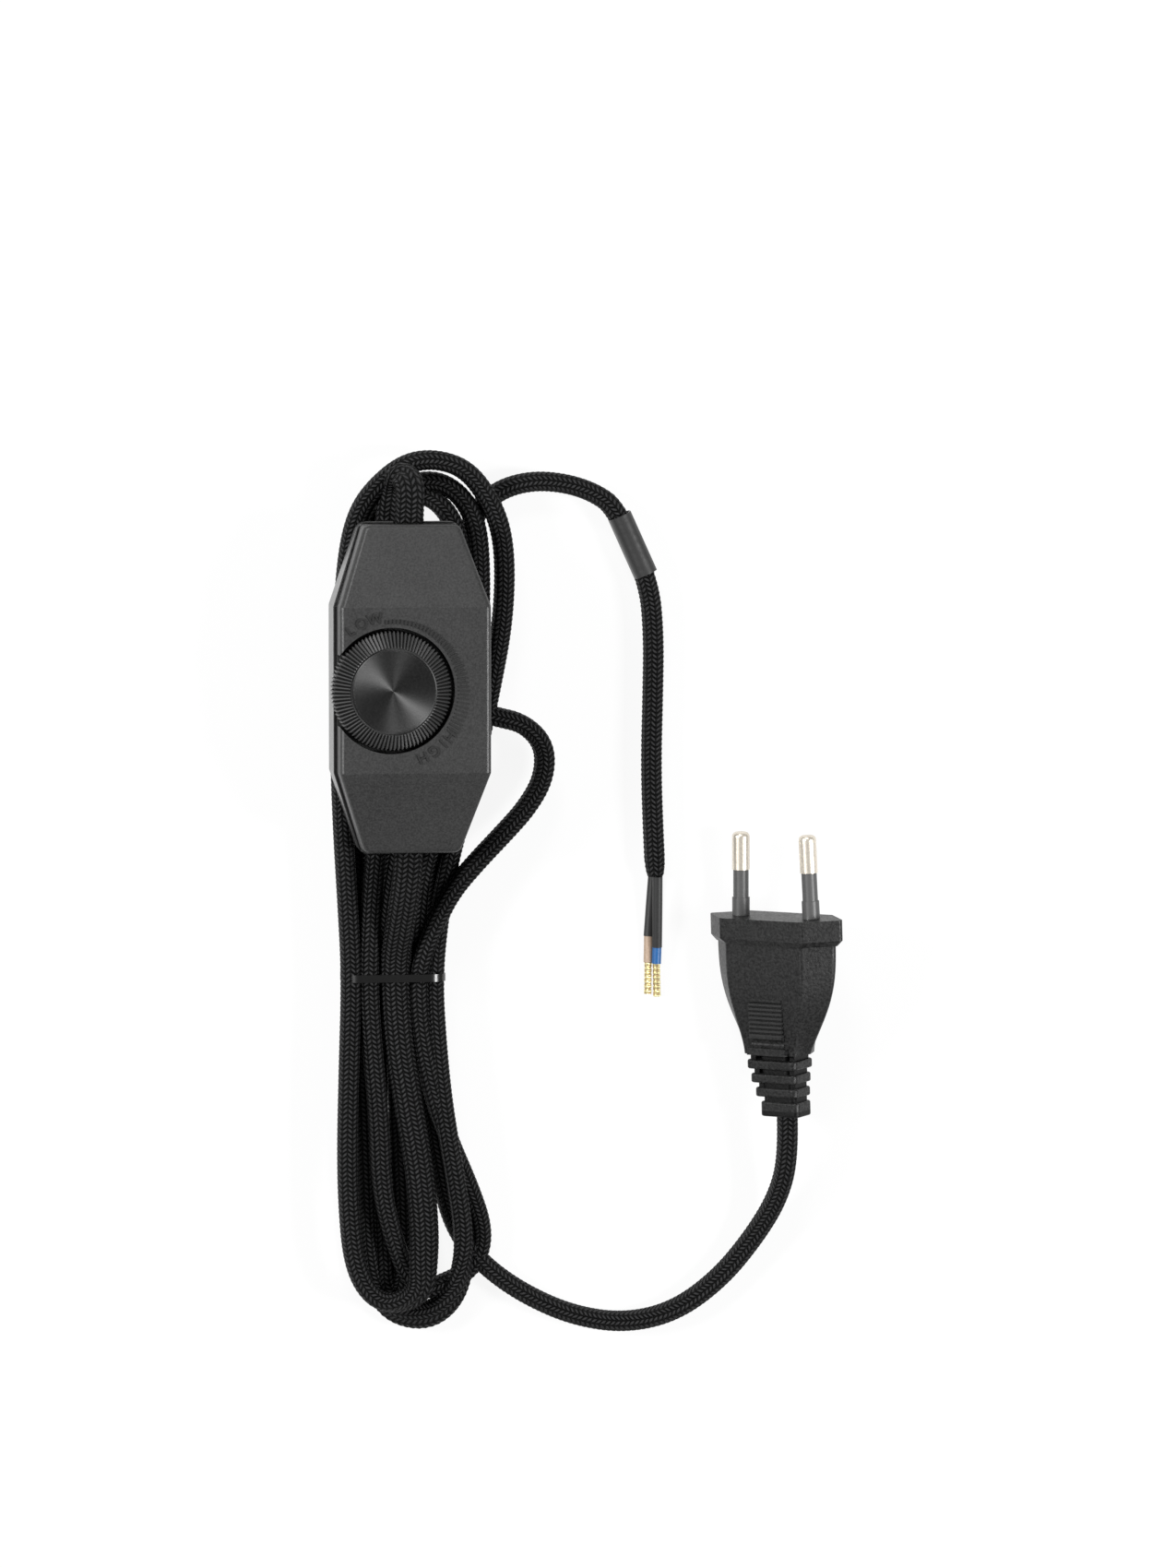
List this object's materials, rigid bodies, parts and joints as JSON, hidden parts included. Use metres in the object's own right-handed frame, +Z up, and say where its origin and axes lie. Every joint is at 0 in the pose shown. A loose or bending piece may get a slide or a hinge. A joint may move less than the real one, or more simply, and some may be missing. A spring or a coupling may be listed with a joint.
{
  "type": "rotary cord dimmer",
  "caption": "Inline rotary dimmer for a lamp cord: two-shell housing with a knurled thumb dial, lying on its bound textile flat cord, with a flat mains plug and crimped lamp ends.",
  "frame": {"origin": "middle of the dimmer's outer box, housing and dial together, without the cord", "axes": "+Y along the dimmer towards its lamp end, +X to the side away from the dial, +Z up through the dial"},
  "size_m": [0.117, 0.2016, 0.0362],
  "materials": {
    "housing_black": "fine matte",
    "dial_black": "satin, turned",
    "shaft_metal": "satin",
    "can_metal": "satin",
    "board_green": "lacquered",
    "part_black": "moulded",
    "ferrite": "dull",
    "copper_wire": "lacquered",
    "capacitor_red": "moulded",
    "fuse_glass": "smooth",
    "resistor_beige": "lacquered",
    "terminal_grey": "moulded",
    "screw_steel": "plated",
    "clamp_black": "moulded",
    "core_brown": "smooth",
    "core_blue": "smooth",
    "braid_black": "woven braid",
    "band_rubber": "glossy",
    "sleeve_black": "shrunk, satin",
    "sheath_black": "satin",
    "ferrule_brass": "crimped",
    "plug_black": "fine matte",
    "pin_nickel": "plated, satin",
    "pin_sleeve_black": "satin"
  },
  "bodies": {
    "dimmer": {"base_shell": "housing_black", "upper_cover": "housing_black", "housing_screws": "screw_steel", "potentiometer_body": "can_metal", "circuit_board": "board_green", "triac": "part_black", "choke_core": "ferrite", "choke_winding": "copper_wire", "film_capacitor": "capacitor_red", "fuse": "fuse_glass", "resistors": "resistor_beige", "mains_terminal": "terminal_grey", "lamp_terminal": "terminal_grey", "terminal_screws": "screw_steel", "mains_cord_clamp": "clamp_black", "lamp_cord_clamp": "clamp_black", "clamp_screws": "screw_steel", "mains_cores": "core_brown", "lamp_cores": "core_blue", "cord_hank": "braid_black", "binding_band": "band_rubber", "lamp_cord_exit": "braid_black", "mains_cord_exit": "braid_black", "side_loop": "braid_black", "lamp_lead": "braid_black", "mains_lead": "braid_black", "shrink_sleeve": "sleeve_black", "brown_sheath": "sheath_black", "brown_core": "core_brown", "brown_ferrule": "ferrule_brass", "blue_sheath": "sheath_black", "blue_core": "core_blue", "blue_ferrule": "ferrule_brass", "plug_body": "plug_black", "left_pin": "pin_nickel", "right_pin": "pin_nickel", "left_pin_sleeve": "pin_sleeve_black", "right_pin_sleeve": "pin_sleeve_black"},
    "dial": {"dial_wheel": "dial_black", "pot_shaft": "shaft_metal"}
  },
  "joints": [
    {"name": "dial_turn", "type": "hinge", "parent": "dimmer", "child": "dial", "pos_m": [-0.00485, 0, 0.006], "axis": [0, 0, -1], "range_deg": [0, 270]}
  ]
}
